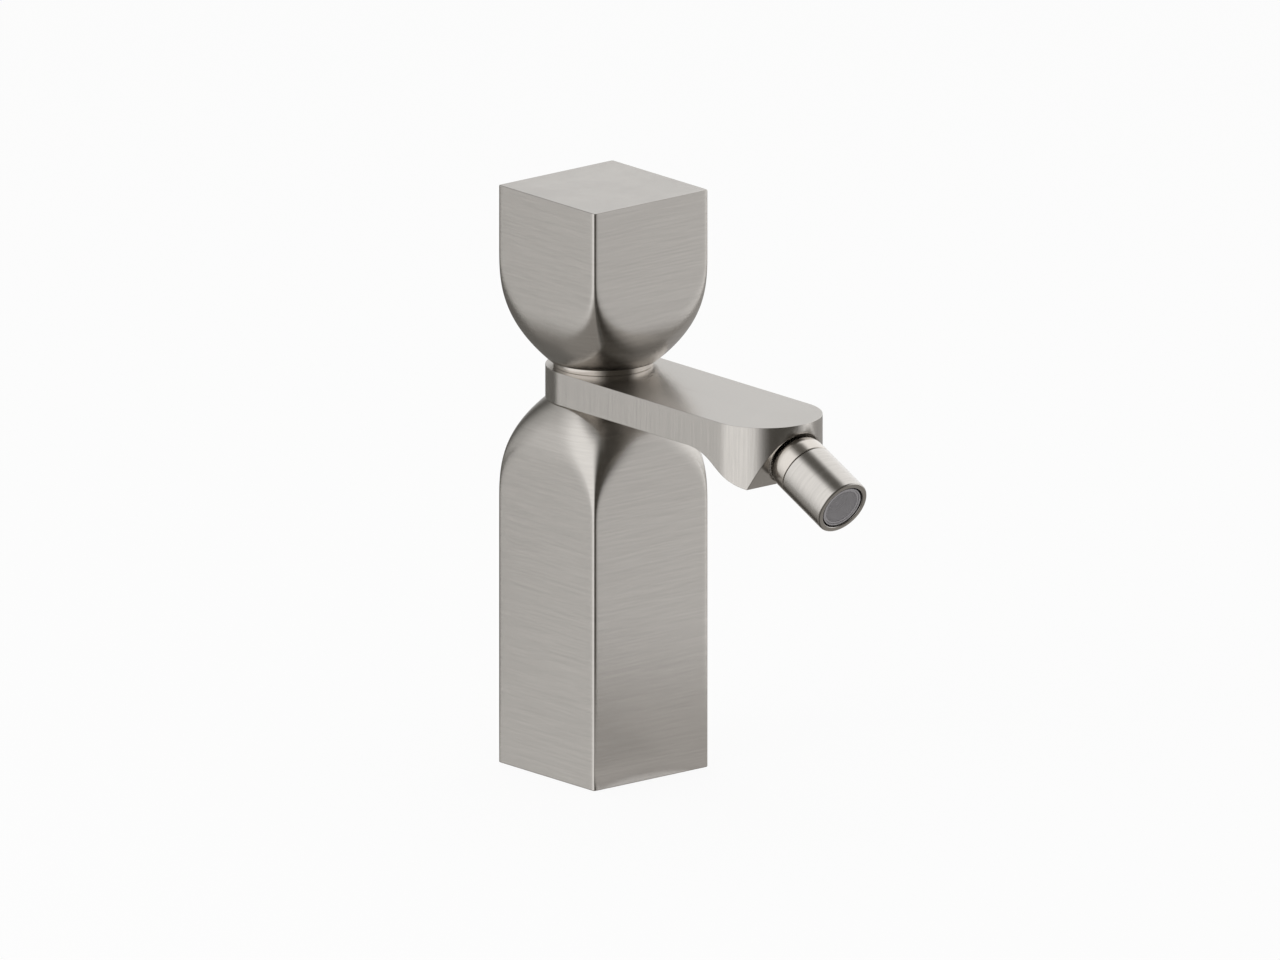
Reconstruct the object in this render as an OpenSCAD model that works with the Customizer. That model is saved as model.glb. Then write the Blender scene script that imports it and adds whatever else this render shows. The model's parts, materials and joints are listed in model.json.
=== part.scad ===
// Bidet mixer: a square column, a flat spout plate, a turning square handle
// and a ball-jointed nozzle that tips and swivels.
// Millimetres. +Z is up, the origin is the middle of the base, the spout points along -Y.

/* [Column and handle] */
// Side of the square column and of the square handle
column_w = 45; // [44:0.5:52]
// Height of the column, up to the underside of the spout plate
column_h = 115; // [105:1:160]
// Height of the handle, from its round lower end to its flat top
handle_h = 53; // [50:1:60]
// Radius of the upright corners
corner_r = 1.5; // [0.8:0.1:3]
// Radius of the round ends that face each other across the neck
round_end_r = 16.6; // [16.4:0.1:17.2]
// Height over which the corners run in to the round end
corner_blend_h = 33.5; // [28:0.5:38]
// Height over which the flat faces curve in to the round end
face_blend_h = 17; // [13:0.5:20]
// Open gap between the spout plate and the handle
neck_gap = 2; // [1.5:0.1:3]
// Thickness of the handle's flat top
handle_top_t = 6; // [4:0.5:8]

/* [Spout plate] */
// Width of the spout plate
plate_w = 35; // [34.5:0.5:40]
// Thickness of the spout plate
plate_t = 10; // [10:0.5:12]
// Distance from the column's axis to the centre of the rounded tip
spout_reach = 75.6; // [70:0.2:110]
// Depth of the lip below the plate's underside
lip_h = 9.6; // [9:0.1:11]
// Height of the upright edge left above the tilted face
brow_h = 2; // [1:0.1:3]
// Steepest slope of the lip's underside, in degrees
lip_steep = 34; // [30:1:38]
// Slope of the lip's underside at its lower edge, in degrees
lip_end_slope = 15; // [10:1:20]
// Radius of the hollow part of the lip's underside
lip_hollow_r = 44; // [36:1:48]

/* [Nozzle] */
// Angle of the nozzle below level, in degrees
nozzle_drop = 25; // [20:1:30]
// Outer radius of the nozzle
nozzle_r = 9; // [8.8:0.1:9.2]
// Length of the barrel, from the collar's joint line to the outlet
barrel_len = 18.6; // [18:0.1:26]
// Distance from the lip's lower edge to the nozzle's centre, along the tilted face
nozzle_up = 9.4; // [9.3:0.1:10]
// Distance that the ball joint's centre stands out from the tilted face
pivot_out = 3.9; // [3.5:0.1:4.5]
// Distance from the ball joint's centre to the joint line of collar and barrel
collar_out = 3.3; // [2.8:0.1:4]
// Width of that joint line
joint_line_w = 0.2; // [0.1:0.05:0.4]
// Radius of the ball
ball_r = 6; // [5.7:0.1:6.2]
// Radial thickness of the plastic seats round the ball
seat_t = 1.15; // [0.9:0.05:1.3]
// Radius of the ball's stem
stem_r = 3.5; // [3.2:0.1:3.7]
// Radius of the water way through the ball
stem_bore_r = 2.2; // [1.5:0.1:2.4]

/* [Aerator] */
// Bore of the barrel at its outlet
outlet_bore_r = 7.3; // [7.2:0.05:7.5]
// Radius of the aerator's visible front
aerator_r = 6.9; // [6.6:0.05:7]
// Radius of the honeycomb screen
screen_r = 6.3; // [6:0.05:6.4]
// Spacing of the honeycomb's cells
cell_pitch = 1.6; // [1.4:0.05:2.2]
// Width of each cell across its flats
cell_w = 1.25; // [0.9:0.05:1.3]
// Depth that the aerator sits inside the outlet
aerator_recess = 0.3; // [0.1:0.1:1]

/* [Core] */
// Bore up the middle of the column
column_bore_r = 17; // [16.8:0.1:17.5]
// Radius of the core's head, where the column, spout and neck ring sit on it
head_r = 14.2; // [14:0.05:14.3]
// Height of the column's round end that guides the core's head
head_guide_h = 23; // [18:1:30]
// Height of the core's foot
foot_h = 20; // [16:1:30]
// Height of the collar that bears on the step in the column
bearing_h = 8; // [6:0.5:12]
// Radius of the core's waist
waist_r = 11; // [10.5:0.1:13]
// Radius of the water ways up the core
way_r = 2.3; // [1.8:0.05:2.4]
// Distance of the hot and the cold water way from the axis
way_offset = 6.8; // [6.6:0.05:7]
// Radius of the hole for each inlet's thread
inlet_r = 4.5; // [4:0.05:4.8]
// Depth of each inlet's thread
inlet_depth = 14; // [10:0.5:15]
// Distance of each inlet from the axis
inlet_offset = 8; // [7:0.1:8.5]
// Radius of the hole for the fixing stud's thread
stud_r = 3.4; // [2.5:0.1:4]
// Depth of the fixing stud's thread
stud_depth = 14; // [10:0.5:15]
// Distance of the fixing stud from the axis, towards the back
stud_offset = 11; // [10.5:0.1:12]
// Width of the key that stops the core and the spout from turning
key_w = 3; // [2.5:0.1:4]
// Length of the key
key_len = 20; // [15:1:22]
// Width of the seal under the column
base_seal_w = 1.8; // [1.4:0.1:2]

/* [Cartridge] */
// Radius of the cartridge
cartridge_r = 12.4; // [12.2:0.05:12.5]
// Thickness of the cartridge's base
cartridge_base_t = 4; // [3.5:0.1:5]
// Radius of the ceramic discs
disc_r = 10.6; // [10.3:0.05:10.7]
// Thickness of each ceramic disc
disc_t = 3; // [2.8:0.1:4]
// Radius of the spindle
spindle_r = 5; // [4.8:0.05:5.2]
// Outer radius of the spindle's splines
spline_r = 4.5; // [4.3:0.05:4.6]
// Depth of the splines
spline_depth = 0.5; // [0.3:0.05:0.6]
// Number of splines
spline_count = 20; // [12:1:24]
// Length of the splines
spline_len = 13; // [12:0.5:14]
// Angle that the handle turns, from shut to fully hot, in degrees
handle_turn = 110; // [90:1:115]
// Radius of the cartridge housing's neck
housing_neck_r = 8; // [7.6:0.1:8.2]
// Length of that neck
housing_neck_len = 7.5; // [7.2:0.1:9]
// Size of the cartridge nut's hexagon, across its flats
nut_flats = 24; // [20:0.5:24]
// Height of that hexagon
nut_hex_h = 4; // [3:0.1:5]
// Radius of the screw that holds the handle
grub_r = 2.5; // [2:0.1:2.8]
// Size of that screw's hexagon socket, across its flats
grub_key = 2.5; // [2:0.1:2.8]

/* [Clearances] */
// Radial clearance of parts that are pushed or screwed together
fit_gap = 0.05; // [0.02:0.01:0.1]
// Radial clearance of parts that turn in each other
turn_gap = 0.05; // [0.03:0.01:0.1]
// Clearance between the handle and what it passes over
handle_gap = 0.2; // [0.1:0.05:0.3]
// Clearance between the nozzle's ball end and its socket in the spout
socket_gap = 0.8; // [0.4:0.05:0.85]

/* [Hidden] */
$fn = 96;

// Colours
NICKEL = "#b4afa6";
POLISHED = "#c9c2b6";
BRASS = "#b5924f";
STEEL = "#8f9296";
CERAMIC = "#ebe7dc";
WHITE_PLASTIC = "#dcdcd8";
GREY_PLASTIC = "#8b8a87";
BLACK_PLASTIC = "#2d2d2f";
RUBBER = "#1d1d1e";

// Cuts run this far past the faces that they open
over = 1;

// Levels, from the base up
plate_z = column_h;
plate_top = plate_z + plate_t;
handle_z = plate_top + neck_gap;
handle_top = handle_z + handle_h;

// Round ends of the column and the handle. Faces and corners run in along power curves, which start
// straight, so that the light rolls off them softly
corner_half = column_w / 2 * sqrt(2) - corner_r * (sqrt(2) - 1);
face_bend = 2.5;
corner_bend = 2.85;
blend_rings = 20;
around = 56;

// Core and column
foot_r = column_bore_r - 0.2;
step_z = column_h - head_guide_h;
head_bore_r = head_r + 0.1;
key_top = plate_z + 2;
key_in = 1.5;
key_out = 1.3;
seal_r = column_bore_r + 1.6;
seal_t = 1.4;

// Spout seals and the ring of water between them
ring_w = 1.5;
ring_depth = 1.3;
groove_w = ring_w + 0.3;
lower_ring_z = plate_z + 3.2;
upper_ring_z = plate_top - 1.4;
water_z = (lower_ring_z + upper_ring_z) / 2;
water_h = upper_ring_z - lower_ring_z - groove_w - 0.8;
channel_w = 12;
channel_end = 2;

// Cartridge levels
cup_floor_t = 2;
cup_r = cartridge_r + 0.2;
cartridge_z = plate_top + cup_floor_t;
disc_z = cartridge_z + cartridge_base_t;
moving_z = disc_z + disc_t;
carrier_z = moving_z + disc_t;
carrier_t = 2.5;
glide_z = carrier_z + carrier_t + 0.2;
glide_t = 1.3;
ceiling_z = glide_z + glide_t;
shoulder_z = ceiling_z + 2.5;
housing_top = shoulder_z + housing_neck_len;
cup_top = housing_top - 1;
nut_top = cup_top + nut_hex_h;
stop_t = 2.5;
spindle_ring_z = shoulder_z + housing_neck_len / 2;
seal_recess = 1;
port_seal_r = way_r + 0.9;
carrier_lug = [2.5, 4, 1.5];
lug_offset = disc_r - 3.1;
locating_pin_r = 1;
locating_pin_y = way_offset + 2.2;
locating_pin_depth = 1.8;

// Water ways of the discs, as angles about the axis: the cold and the hot kidney above the ports of
// the fixed disc, and the moving disc's chamber with the handle shut
kidney_in_r = way_offset - 1.8;
kidney_out_r = way_offset + 1.8;
cold_kidney = [-25, 35];
hot_kidney = [45, 200];
chamber = [-72, -28];

// Stop for the handle's turn
lug_angle = 26;
stop_spare = 2;

// Handle
insert_z = nut_top + 1.5;
insert_r = 8.5;
insert_h = spline_len;
boss_r = 12;
lip_bore_h = 8;
handle_wall = 3.5;
handle_cavity_r = column_w / 2 - handle_wall;
neck_ring_r = 15.1;
neck_ring_h = 5;
wrench_slots = 4;
wrench_slot = [2, 1.5];
handle_bore_r = neck_ring_r + handle_gap;
grub_z = insert_z + insert_h / 2;
grub_recess = 1;
spindle_groove_depth = 1;

// Lip and tilted face, in the plane of symmetry: [y, z]
tip_y = -(spout_reach + plate_w / 2);
lip_y = tip_y + (plate_t + lip_h - brow_h) * tan(nozzle_drop);
lip_z = plate_z - lip_h;
lip_nose_r = (lip_h - lip_hollow_r * (cos(lip_end_slope) - cos(lip_steep))) / (1 - cos(lip_steep));
lip_start_y = lip_y + lip_hollow_r * (sin(lip_steep) - sin(lip_end_slope)) + lip_nose_r * sin(lip_steep);
lip_steps = 10;
face_up = [-sin(nozzle_drop), cos(nozzle_drop)];
face_out = [-cos(nozzle_drop), -sin(nozzle_drop)];
pivot = [lip_y, lip_z] + nozzle_up * face_up + pivot_out * face_out;

// Ball joint: distances along the nozzle's axis from the ball's centre
seat_in_r = ball_r + turn_gap;
seat_out_r = seat_in_r + seat_t;
shell_r = seat_out_r + turn_gap;
socket_r = nozzle_r + socket_gap;
socket_depth = socket_r + 0.4;
stem_flange_r = 4.8;
stem_flange_t = 1;
stem_thread_r = 4;
stem_thread_len = 8;
stem_hole_spare = 1;
stem_ring_w = 1.6;
stem_open_r = stem_r + 0.2;
ball_flat = 4.2;
seat_open_r = 4.6;
seat_split = 2;
collar_rear_r = 5.4;
spigot_r = 7.95;
spigot_back = 0.5;
barrel_way_r = 5.4;
barrel_z = collar_out + joint_line_w / 2;
outlet_z = collar_out + barrel_len;
edge_chamfer = 0.3;
arc_step = 6;

// Aerator levels along the nozzle's axis
aerator_front = outlet_z - aerator_recess;
aerator_len = 7;
aerator_rear = aerator_front - aerator_len;
aerator_thread_len = 3.5;
washer_t = 1.4;
screen_t = 1.8;
screen_front = aerator_front - 0.3;
regulator_t = 2;
regulator_holes = 8;

// Distance from the bar's axis, t from its round end, of what is full from the axis where it is square
function drawn_in(full, blend, bend, t) =
    full - (full - round_end_r) * pow(max(0, 1 - t / blend), bend);

// Coordinate of a squared circle along one axis, from the cosine of its angle
function squared(half, power, c) = half * sign(c) * pow(abs(c), 2 / power);

// Point k of the bar's section, t from its round end: a squared circle with the face's half width
// and the half diagonal of that level
function section_point(t, k) =
    let (face = drawn_in(column_w / 2, face_blend_h, face_bend, t),
        diagonal = drawn_in(corner_half, corner_blend_h, corner_bend, t),
        power = ln(2) / ln(face * sqrt(2) / diagonal), a = 360 * k / around)
    [squared(face, power, cos(a)), squared(face, power, sin(a))];

// Points of an arc in the plane of a turned profile
function arc(r, from, to) =
    let (n = ceil(abs(to - from) / arc_step))
    [for (i = [0:n]) let (a = from + (to - from) * i / n) [r * cos(a), r * sin(a)]];

// Distance along the axis at which a ball of radius r is w wide
function ball_depth(r, w) = sqrt(r * r - w * w);

// Square bar that stands on its square end and turns round at its top
module square_bar(len) {
    levels = concat([0], [for (i = [0:blend_rings]) len - corner_blend_h * (1 - i / blend_rings)]);
    rings = len(levels);
    points = [for (z = levels, k = [0:around - 1])
        let (p = section_point(len - z, k)) [p.x, p.y, z]];
    walls = [for (k = [0:rings - 2], j = [0:around - 1])
        let (a = k * around + j, b = k * around + (j + 1) % around)
        each [[a, a + around, b + around], [a, b + around, b]]];
    bottom = [for (j = [0:around - 1]) j];
    top = [for (j = [0:around - 1]) rings * around - 1 - j];
    polyhedron(points, concat([bottom, top], walls), convexity = 4);
}

// Tube with its lower end on the ground
module tube(outer_r, inner_r, h) {
    difference() {
        cylinder(r = outer_r, h = h);
        translate([0, 0, -over])
            cylinder(r = inner_r, h = h + 2 * over);
    }
}

// Sealing ring in a groove that starts at inner_r
module sealing_ring(inner_r, wire_r) {
    rotate_extrude()
        translate([inner_r + wire_r + 0.02, 0])
            circle(r = wire_r, $fn = 24);
}

// Part of a flat ring, from one angle to another
module sector(inner_r, outer_r, from, to, h) {
    rotate([0, 0, from])
        rotate_extrude(angle = to - from)
            translate([inner_r, 0])
                square([outer_r - inner_r, h]);
}

// Splined bar
module splines(r, h) {
    linear_extrude(height = h)
        polygon([for (i = [0:2 * spline_count - 1])
            let (a = 180 * i / spline_count, rad = r - spline_depth * (i % 2))
            [rad * cos(a), rad * sin(a)]]);
}

// Places what is drawn along +Z on the nozzle's axis, with the ball's centre at the origin
module on_nozzle() {
    translate([0, pivot.x, pivot.y])
        rotate([90 + nozzle_drop, 0, 0])
            children();
}

// Positions of the hot, the mixed and the cold water way
module at_ways(h) {
    for (x = [-way_offset, 0, way_offset])
        translate([x, 0, h])
            children();
}

// Column: square outside, round at its top, bored for the core
module column() {
    color(NICKEL)
        difference() {
            square_bar(column_h);
            translate([0, 0, -over])
                cylinder(r = column_bore_r, h = step_z + over);
            cylinder(r = head_bore_r, h = column_h + over);
            translate([-key_w / 2 - fit_gap, head_r - key_in, step_z - over])
                cube([key_w + 2 * fit_gap, key_in + key_out + fit_gap, head_guide_h + 2 * over]);
            translate([0, 0, -over])
                tube(seal_r + base_seal_w + fit_gap, seal_r - fit_gap, seal_t + over);
        }
}

// Turned outline of the core: [radius, height]
function core_outline() = [
    [0, 0], [foot_r - 0.5, 0], [foot_r, 0.5], [foot_r, foot_h],
    [waist_r, foot_h + 3], [waist_r, step_z - bearing_h - 3], [foot_r, step_z - bearing_h],
    [foot_r, step_z], [head_r, step_z], [head_r, cup_top - 0.4], [head_r - 0.4, cup_top],
    [cup_r, cup_top], [cup_r, cartridge_z], [0, cartridge_z]];

// Core: inlets and fixing thread below, water ways up its waist, cup for the cartridge on top
module core() {
    color(BRASS)
        difference() {
            rotate_extrude()
                polygon(core_outline());
            for (side = [-1, 1]) {
                translate([side * inlet_offset, 0, -over])
                    cylinder(r = inlet_r, h = inlet_depth + over);
                translate([side * way_offset, 0, inlet_depth - over])
                    cylinder(r = way_r, h = cartridge_z);
            }
            translate([0, stud_offset, -over])
                cylinder(r = stud_r, h = stud_depth + over);
            translate([0, 0, water_z])
                cylinder(r = way_r, h = cup_floor_t + plate_t);
            translate([-channel_w / 3, -head_r - over, water_z - water_h / 2])
                cube([2 * channel_w / 3, head_r + over, water_h]);
            for (z = [lower_ring_z, upper_ring_z])
                translate([0, 0, z - groove_w / 2])
                    tube(head_r + over, head_r - ring_depth, groove_w);
            translate([0, 0, water_z - water_h / 2])
                tube(head_r + over, head_r - 1, water_h);
            translate([-key_w / 2 - fit_gap, head_r - key_in - fit_gap, key_top - key_len - fit_gap])
                cube([key_w + 2 * fit_gap, key_in + key_out + over, key_len + 2 * fit_gap]);
            translate([0, locating_pin_y, cartridge_z - locating_pin_depth - fit_gap])
                cylinder(r = locating_pin_r + fit_gap, h = locating_pin_depth + over);
        }
}

// Key in the core's head: it locks the core in the column and the spout on the core
module core_key() {
    color(STEEL)
        translate([-key_w / 2, head_r - key_in, key_top - key_len])
            cube([key_w, key_in + key_out, key_len]);
}

// Seal in the groove under the column
module base_seal() {
    color(RUBBER)
        tube(seal_r + base_seal_w, seal_r, seal_t);
}

// Outline of the spout seen from the side: [y, z]
function spout_side() = concat(
    [[plate_w, plate_z], [lip_start_y, plate_z]],
    [for (i = [1:lip_steps]) let (a = lip_steep * i / lip_steps)
        [lip_start_y - lip_nose_r * sin(a), plate_z - lip_nose_r * (1 - cos(a))]],
    [for (i = [1:lip_steps]) let (a = lip_steep + (lip_end_slope - lip_steep) * i / lip_steps)
        [lip_y + lip_hollow_r * (sin(a) - sin(lip_end_slope)),
        lip_z + lip_hollow_r * (cos(lip_end_slope) - cos(a))]],
    [[lip_y, lip_z] + 2 * plate_t / cos(nozzle_drop) * face_up,
    [plate_w, lip_z + 2 * plate_t]]);

// Outline of the spout seen from above
module spout_plan() {
    circle(d = plate_w);
    translate([0, -spout_reach])
        circle(d = plate_w);
    translate([-plate_w / 2, -spout_reach])
        square([plate_w, spout_reach]);
}

// Spout: flat plate with a lip, an eye for the core, a water way and a socket for the ball joint
module spout() {
    color(NICKEL)
        difference() {
            intersection() {
                translate([0, 0, lip_z])
                    linear_extrude(height = lip_h + plate_t)
                        spout_plan();
                translate([-plate_w, 0, 0])
                    rotate([90, 0, 90])
                        linear_extrude(height = 2 * plate_w)
                            polygon(spout_side());
            }
            translate([0, 0, plate_z - over])
                cylinder(r = head_r + fit_gap, h = plate_t + 2 * over);
            translate([-key_w / 2 - fit_gap, head_r - key_in, plate_z - over])
                cube([key_w + 2 * fit_gap, key_in + key_out + fit_gap, key_top - plate_z + over + fit_gap]);
            translate([-channel_w / 2, channel_end - spout_reach, water_z - water_h / 2])
                cube([channel_w, spout_reach - head_r, water_h]);
            on_nozzle() {
                sphere(r = socket_r);
                translate([0, 0, -socket_depth])
                    cylinder(r = stem_flange_r + 0.2, h = socket_depth - pivot_out);
                translate([0, 0, -socket_depth - stem_thread_len - stem_hole_spare])
                    cylinder(r = stem_thread_r + fit_gap, h = stem_thread_len + stem_hole_spare + over);
                translate([0, 0, -socket_depth - stem_thread_len - 5])
                    cylinder(r = way_r, h = stem_thread_len);
            }
        }
}

// Sealing rings above and below the ring of water in the spout's eye
module spout_oring_lower() {
    color(RUBBER)
        translate([0, 0, lower_ring_z])
            sealing_ring(head_r - ring_depth, ring_depth / 2);
}

module spout_oring_upper() {
    color(RUBBER)
        translate([0, 0, upper_ring_z])
            sealing_ring(head_r - ring_depth, ring_depth / 2);
}

// Neck ring: screwed on the core's head, it clamps the spout to the column
module neck_ring() {
    color(POLISHED)
        translate([0, 0, plate_top])
            difference() {
                tube(neck_ring_r, head_r + fit_gap, neck_ring_h);
                for (i = [0:wrench_slots - 1])
                    rotate([0, 0, 45 + 360 / wrench_slots * i])
                        translate([0, -wrench_slot.x / 2, neck_ring_h - wrench_slot.y])
                            cube([column_w, wrench_slot.x, wrench_slot.y + over]);
            }
}

// Cartridge base: a plug with the three ports and the recesses for their seals
module cartridge_base() {
    color(WHITE_PLASTIC) {
        difference() {
            translate([0, 0, cartridge_z])
                cylinder(r = cartridge_r, h = cartridge_base_t);
            at_ways(cartridge_z - over)
                cylinder(r = way_r, h = cartridge_base_t + 2 * over);
            at_ways(cartridge_z - over)
                cylinder(r = port_seal_r + fit_gap, h = seal_recess + over);
            at_ways(disc_z - seal_recess)
                cylinder(r = port_seal_r + fit_gap, h = seal_recess + over);
        }
        translate([0, locating_pin_y, cartridge_z - locating_pin_depth])
            cylinder(r = locating_pin_r, h = locating_pin_depth + cartridge_base_t / 2);
    }
}

// Three seals on the cup's floor
module port_seals() {
    color(RUBBER)
        at_ways(cartridge_z)
            tube(port_seal_r, way_r + fit_gap, seal_recess);
}

// Three seals under the fixed disc
module disc_seals() {
    color(RUBBER)
        at_ways(disc_z - seal_recess)
            tube(port_seal_r, way_r + fit_gap, seal_recess);
}

// Fixed ceramic disc: round ports below, a cold and a hot kidney above
module fixed_disc() {
    color(CERAMIC)
        translate([0, 0, disc_z])
            difference() {
                cylinder(r = disc_r, h = disc_t);
                at_ways(-over)
                    cylinder(r = way_r, h = disc_t + 2 * over);
                for (kidney = [cold_kidney, hot_kidney])
                    translate([0, 0, disc_t / 3])
                        sector(kidney_in_r, kidney_out_r, kidney[0], kidney[1], disc_t);
            }
}

// Moving ceramic disc: its chamber joins a kidney to the middle port as it turns
module moving_disc() {
    color(CERAMIC)
        translate([0, 0, moving_z])
            difference() {
                cylinder(r = disc_r, h = disc_t);
                translate([0, 0, -over])
                    cylinder(r = way_r, h = over + disc_t / 2);
                translate([0, 0, -over])
                    sector(way_r - 1, kidney_out_r, chamber[0], chamber[1], over + disc_t / 2);
                for (side = [-1, 1])
                    translate([side * lug_offset, 0, disc_t - carrier_lug.z - fit_gap])
                        linear_extrude(height = disc_t)
                            square([carrier_lug.x + 2 * fit_gap, carrier_lug.y + 2 * fit_gap], center = true);
            }
}

// Cartridge housing: a cup turned over the discs, with a neck for the spindle
module cartridge_housing() {
    color(WHITE_PLASTIC)
        difference() {
            union() {
                translate([0, 0, disc_z])
                    cylinder(r = cartridge_r, h = shoulder_z - disc_z);
                translate([0, 0, disc_z])
                    cylinder(r = housing_neck_r, h = housing_top - disc_z);
            }
            translate([0, 0, disc_z - over])
                cylinder(r = disc_r + 0.2, h = ceiling_z - disc_z + over);
            translate([0, 0, disc_z])
                cylinder(r = spindle_r + turn_gap, h = housing_top);
        }
}

// Glide ring between the spindle's carrier and the housing's ceiling
module glide_ring() {
    color(GREY_PLASTIC)
        translate([0, 0, glide_z])
            tube(disc_r, spindle_r + 1, glide_t);
}

// Spindle: a carrier that drives the moving disc, a shaft with a stop lug, and splines on top
module spindle() {
    color(BRASS)
        difference() {
            union() {
                translate([0, 0, carrier_z])
                    cylinder(r = disc_r - 0.2, h = carrier_t);
                for (side = [-1, 1])
                    translate([side * lug_offset, 0, carrier_z - carrier_lug.z])
                        linear_extrude(height = carrier_lug.z + carrier_t / 2)
                            square([carrier_lug.x, carrier_lug.y], center = true);
                translate([0, 0, carrier_z])
                    cylinder(r = spindle_r, h = insert_z - 1 - carrier_z);
                translate([0, 0, housing_top])
                    sector(spindle_r - 1, housing_neck_r - 0.4, -lug_angle / 2, lug_angle / 2, stop_t);
                translate([0, 0, insert_z - 2])
                    splines(spline_r, spline_len);
            }
            translate([0, 0, spindle_ring_z - 0.8])
                tube(spindle_r + over, spindle_r - spindle_groove_depth, 1.6);
            translate([0, 0, grub_z - grub_r - 0.3])
                tube(spindle_r + over, spline_r - spindle_groove_depth, 2 * grub_r + 0.6);
        }
}

// Sealing ring on the spindle
module spindle_oring() {
    color(RUBBER)
        translate([0, 0, spindle_ring_z])
            sealing_ring(spindle_r - spindle_groove_depth, spindle_groove_depth / 2);
}

// Stop ring on the housing's neck: the spindle's lug travels between its ends
module stop_ring() {
    color(STEEL)
        translate([0, 0, housing_top])
            sector(spindle_r + 0.2, housing_neck_r,
                handle_turn + lug_angle / 2 + stop_spare, 360 - lug_angle / 2 - stop_spare, stop_t);
}

// Nut that holds the cartridge down in the core's cup
module cartridge_nut() {
    color(BRASS)
        translate([0, 0, shoulder_z])
            difference() {
                union() {
                    cylinder(r = cup_r - fit_gap, h = cup_top - shoulder_z);
                    translate([0, 0, cup_top - shoulder_z])
                        cylinder(d = nut_flats / cos(30), h = nut_top - cup_top, $fn = 6);
                }
                translate([0, 0, -over])
                    cylinder(r = housing_neck_r + 0.2, h = nut_top);
            }
}

// Splined bush between the spindle and the handle
module handle_insert() {
    color(BLACK_PLASTIC)
        difference() {
            translate([0, 0, insert_z])
                cylinder(r = insert_r, h = insert_h);
            translate([0, 0, insert_z - over])
                splines(spline_r + fit_gap, insert_h + 2 * over);
            translate([0, 0, grub_z])
                rotate([-90, 0, 0])
                    cylinder(r = grub_r + fit_gap, h = insert_r + over);
        }
}

// Handle: the column's twin turned upside down, hollow, with a boss for the splined bush
module handle() {
    color(NICKEL)
        difference() {
            translate([0, 0, handle_top])
                rotate([180, 0, 0])
                    square_bar(handle_h);
            translate([0, 0, handle_z - over])
                cylinder(r = handle_bore_r, h = lip_bore_h + 2 * over);
            difference() {
                translate([0, 0, handle_z + lip_bore_h])
                    cylinder(r = handle_cavity_r, h = handle_h - lip_bore_h - handle_top_t);
                translate([0, 0, insert_z])
                    cylinder(r = boss_r, h = handle_h);
            }
            translate([0, 0, insert_z - over])
                cylinder(r = insert_r + fit_gap, h = insert_h + over + fit_gap);
            translate([0, 0, grub_z])
                rotate([-90, 0, 0])
                    cylinder(r = grub_r + fit_gap, h = column_w);
        }
}

// Headless screw at the back of the handle: its tip sits in the spindle's groove
module grub_screw() {
    tip = spline_r - spindle_groove_depth + 0.2;
    head = column_w / 2 - grub_recess;
    color(STEEL)
        translate([0, 0, grub_z])
            rotate([-90, 0, 0])
                difference() {
                    translate([0, 0, tip])
                        union() {
                            cylinder(r1 = grub_r - 1, r2 = grub_r, h = 1);
                            translate([0, 0, 1])
                                cylinder(r = grub_r, h = head - tip - 1);
                        }
                    translate([0, 0, head - grub_key])
                        cylinder(d = grub_key / cos(30), h = grub_key + over, $fn = 6);
                }
}

// Outline of the ball stud: [radius, distance along the nozzle's axis]
function stud_outline() = concat(
    [[0, -socket_depth - stem_thread_len], [stem_thread_r, -socket_depth - stem_thread_len],
    [stem_thread_r, -socket_depth], [stem_flange_r, -socket_depth],
    [stem_flange_r, stem_flange_t - socket_depth], [stem_r, stem_flange_t - socket_depth]],
    arc(ball_r, -acos(stem_r / ball_r), asin(ball_flat / ball_r)),
    [[0, ball_flat]]);

// Ball stud: screwed in the spout, with the water way through it
module ball_stud() {
    color(POLISHED)
        on_nozzle()
            difference() {
                rotate_extrude()
                    polygon(stud_outline());
                translate([0, 0, -socket_depth - stem_thread_len - over])
                    cylinder(r = stem_bore_r, h = socket_depth + stem_thread_len + ball_r + over);
                translate([0, 0, -socket_depth - stem_ring_w])
                    tube(stem_thread_r + over, stem_thread_r - 1, stem_ring_w);
            }
}

// Sealing ring under the ball stud's flange
module stud_oring() {
    color(RUBBER)
        on_nozzle()
            translate([0, 0, -socket_depth - stem_ring_w / 2])
                sealing_ring(stem_thread_r - 1, 0.5);
}

// Shell between two angles from the nozzle's rearward axis
module seat_shell(from, to) {
    rotate_extrude()
        polygon(concat(arc(seat_in_r, from - 90, to - 90), arc(seat_out_r, to - 90, from - 90)));
}

// Seats round the rear and the front of the ball
module seat_ring_rear() {
    color(WHITE_PLASTIC)
        on_nozzle()
            seat_shell(asin(stem_open_r / seat_in_r), 90 - seat_split);
}

module seat_ring_front() {
    color(WHITE_PLASTIC)
        on_nozzle()
            seat_shell(90 + seat_split, 180 - asin(seat_open_r / seat_in_r));
}

// Outline of the collar: [radius, distance along the nozzle's axis]
function collar_outline() =
    let (rear = ball_depth(shell_r, collar_rear_r), front = collar_out - joint_line_w / 2)
    concat(
        arc(nozzle_r, -asin(rear / nozzle_r), 0),
        [[nozzle_r, front - edge_chamfer], [nozzle_r - edge_chamfer, front],
        [spigot_r + fit_gap, front], [spigot_r + fit_gap, spigot_back - joint_line_w]],
        arc(shell_r, asin((spigot_back - joint_line_w) / shell_r), -acos(collar_rear_r / shell_r)));

// Collar: its round rear sits in the spout's socket and holds the seats on the ball
module nozzle_collar() {
    color(POLISHED)
        on_nozzle()
            rotate_extrude()
                polygon(collar_outline());
}

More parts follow.
